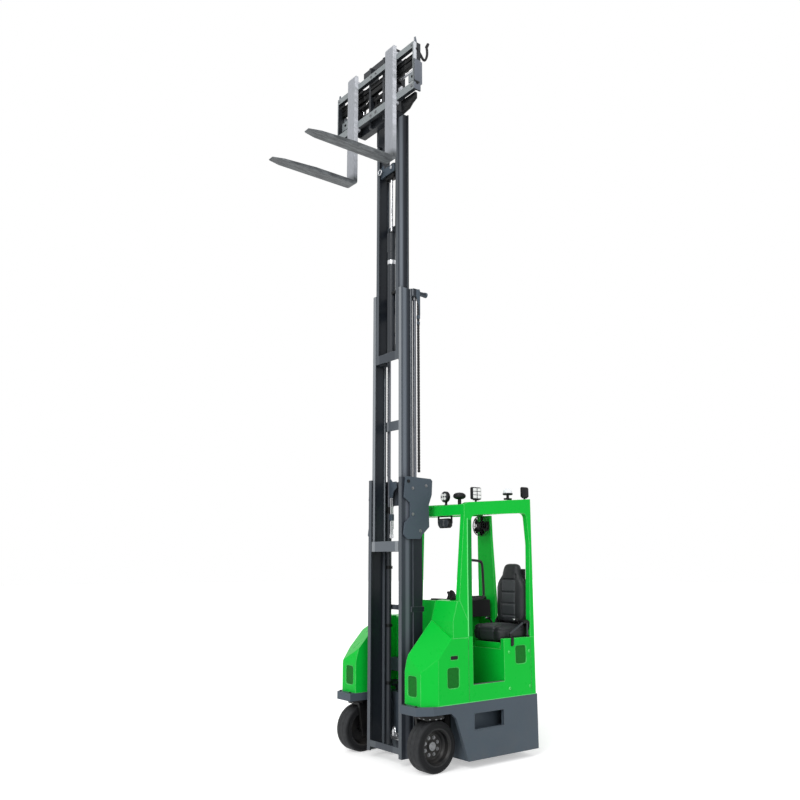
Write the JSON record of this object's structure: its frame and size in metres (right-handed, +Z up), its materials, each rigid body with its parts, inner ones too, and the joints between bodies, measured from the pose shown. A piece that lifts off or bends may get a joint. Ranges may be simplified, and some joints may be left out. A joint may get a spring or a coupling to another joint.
{
  "type": "multidirectional forklift",
  "caption": "Multidirectional counterbalance forklift with swivelling front wheels, a raised three-stage mast, a spreading fork carriage and a driver's cab to one side.",
  "frame": {"origin": "on the ground at the centre of the overall box, fork tips to tail", "axes": "-Y is the direction the forks point, +X is the driver's left, +Z is up"},
  "size_m": [1.29, 2.336, 6.63],
  "materials": {
    "black_metal": "satin",
    "black_plastic": "matte",
    "chrome_rod": "polished",
    "fork_steel": "satin",
    "green_paint": "satin",
    "grey_paint": "satin",
    "hose_rubber": "matte",
    "lamp_lens": "clear",
    "mast_steel": "satin",
    "rim_paint": "satin",
    "seat_fabric": "woven",
    "tyre_rubber": "matte"
  },
  "bodies": {
    "truck": {"arm_rail": "black_metal", "beacon": "lamp_lens", "cab_fan": "black_plastic", "cab_tub": "green_paint", "chassis": "grey_paint", "console": "black_plastic", "cowl": "green_paint", "dash_mirror": "black_plastic", "floodlight": "black_plastic", "front_crossbeam": "grey_paint", "grab_rail": "black_metal", "guard_frame": "green_paint", "left_fender": "green_paint", "levers": "black_metal", "rear_body": "green_paint", "right_fender": "green_paint", "right_hood": "green_paint", "roof_lamps": "black_plastic", "roof_slats": "green_paint", "seat_back": "seat_fabric", "seat_base": "black_metal", "seat_cushion": "seat_fabric", "steering_wheel": "black_plastic", "tilt_brackets": "grey_paint"},
    "outer_stage": {"outer_mast": "mast_steel", "mast_side_plates": "mast_steel", "left_lift_barrel": "mast_steel", "right_lift_barrel": "mast_steel"},
    "middle_stage": {"middle_mast": "mast_steel", "lift_rods": "chrome_rod", "mast_hoses": "hose_rubber"},
    "inner_stage": {"inner_mast": "mast_steel", "free_lift_cylinder": "mast_steel", "feed_pipe": "black_metal"},
    "carriage_body": {"carriage": "mast_steel", "carriage_arms": "mast_steel"},
    "left_fork_body": {"left_fork": "fork_steel"},
    "right_fork_body": {"right_fork": "fork_steel"},
    "left_knuckle_body": {"left_knuckle": "black_metal"},
    "right_knuckle_body": {"right_knuckle": "black_metal"},
    "left_wheel": {"left_tyre": "tyre_rubber", "left_rim": "rim_paint"},
    "right_wheel": {"right_tyre": "tyre_rubber", "right_rim": "rim_paint"},
    "drive_turret": {"drive_unit": "black_metal"},
    "drive_wheel": {"drive_tyre": "tyre_rubber", "drive_rim": "rim_paint"},
    "left_tilt_barrel_body": {"left_tilt_barrel": "mast_steel"},
    "right_tilt_barrel_body": {"right_tilt_barrel": "mast_steel"},
    "left_tilt_rod_body": {"left_tilt_rod": "chrome_rod"},
    "right_tilt_rod_body": {"right_tilt_rod": "chrome_rod"}
  },
  "joints": [
    {"name": "mast_tilt", "type": "hinge", "parent": "truck", "child": "outer_stage", "pos_m": [0, 0.06, 0.15], "axis": [1, 0, 0], "range_deg": [-2, 2]},
    {"name": "middle_lift", "type": "slide", "parent": "outer_stage", "child": "middle_stage", "axis": [0, 0, 1], "range_m": [-1.62, 0]},
    {"name": "inner_lift", "type": "slide", "parent": "middle_stage", "child": "inner_stage", "axis": [0, 0, 1], "range_m": [-1.62, 0]},
    {"name": "carriage_lift", "type": "slide", "parent": "inner_stage", "child": "carriage_body", "axis": [0, 0, 1], "range_m": [-2.07, 0]},
    {"name": "left_fork_shift", "type": "slide", "parent": "carriage_body", "child": "left_fork_body", "axis": [1, 0, 0], "range_m": [-0.15, 0.15]},
    {"name": "right_fork_shift", "type": "slide", "parent": "carriage_body", "child": "right_fork_body", "axis": [-1, 0, 0], "range_m": [-0.15, 0.15]},
    {"name": "left_steer", "type": "hinge", "parent": "truck", "child": "left_knuckle_body", "pos_m": [0.513, 0.037, 0.43], "axis": [0, 0, 1], "range_deg": [-90, 90]},
    {"name": "right_steer", "type": "hinge", "parent": "truck", "child": "right_knuckle_body", "pos_m": [-0.513, 0.037, 0.43], "axis": [0, 0, 1], "range_deg": [-90, 90]},
    {"name": "left_wheel_spin", "type": "hinge", "parent": "left_knuckle_body", "child": "left_wheel", "pos_m": [0.513, 0.037, 0.203], "axis": [1, 0, 0], "continuous": true},
    {"name": "right_wheel_spin", "type": "hinge", "parent": "right_knuckle_body", "child": "right_wheel", "pos_m": [-0.513, 0.037, 0.203], "axis": [1, 0, 0], "continuous": true},
    {"name": "drive_steer", "type": "hinge", "parent": "truck", "child": "drive_turret", "pos_m": [0, 0.847, 0.43], "axis": [0, 0, 1], "range_deg": [-90, 90]},
    {"name": "drive_wheel_spin", "type": "hinge", "parent": "drive_turret", "child": "drive_wheel", "pos_m": [0, 0.847, 0.203], "axis": [1, 0, 0], "continuous": true},
    {"name": "left_tilt_barrel_hinge", "type": "hinge", "parent": "truck", "child": "left_tilt_barrel_body", "pos_m": [0.285, 0.318, 0.59], "axis": [1, 0, 0], "range_deg": [-2, 2]},
    {"name": "left_tilt_rod_slide", "type": "slide", "parent": "left_tilt_barrel_body", "child": "left_tilt_rod_body", "axis": [0, -0.993, 0.1182], "range_m": [-0.02, 0.02]},
    {"name": "right_tilt_barrel_hinge", "type": "hinge", "parent": "truck", "child": "right_tilt_barrel_body", "pos_m": [-0.285, 0.318, 0.59], "axis": [1, 0, 0], "range_deg": [-2, 2]},
    {"name": "right_tilt_rod_slide", "type": "slide", "parent": "right_tilt_barrel_body", "child": "right_tilt_rod_body", "axis": [0, -0.993, 0.1182], "range_m": [-0.02, 0.02]}
  ],
  "couplings": [
    {"joint": "inner_lift", "follows": "middle_lift", "ratio": 1},
    {"joint": "left_tilt_barrel_hinge", "follows": "mast_tilt", "ratio": -0.20682},
    {"joint": "left_tilt_rod_slide", "follows": "mast_tilt", "m_per_rad": 0.46741},
    {"joint": "right_tilt_barrel_hinge", "follows": "mast_tilt", "ratio": -0.20682},
    {"joint": "right_tilt_rod_slide", "follows": "mast_tilt", "m_per_rad": 0.46741}
  ]
}
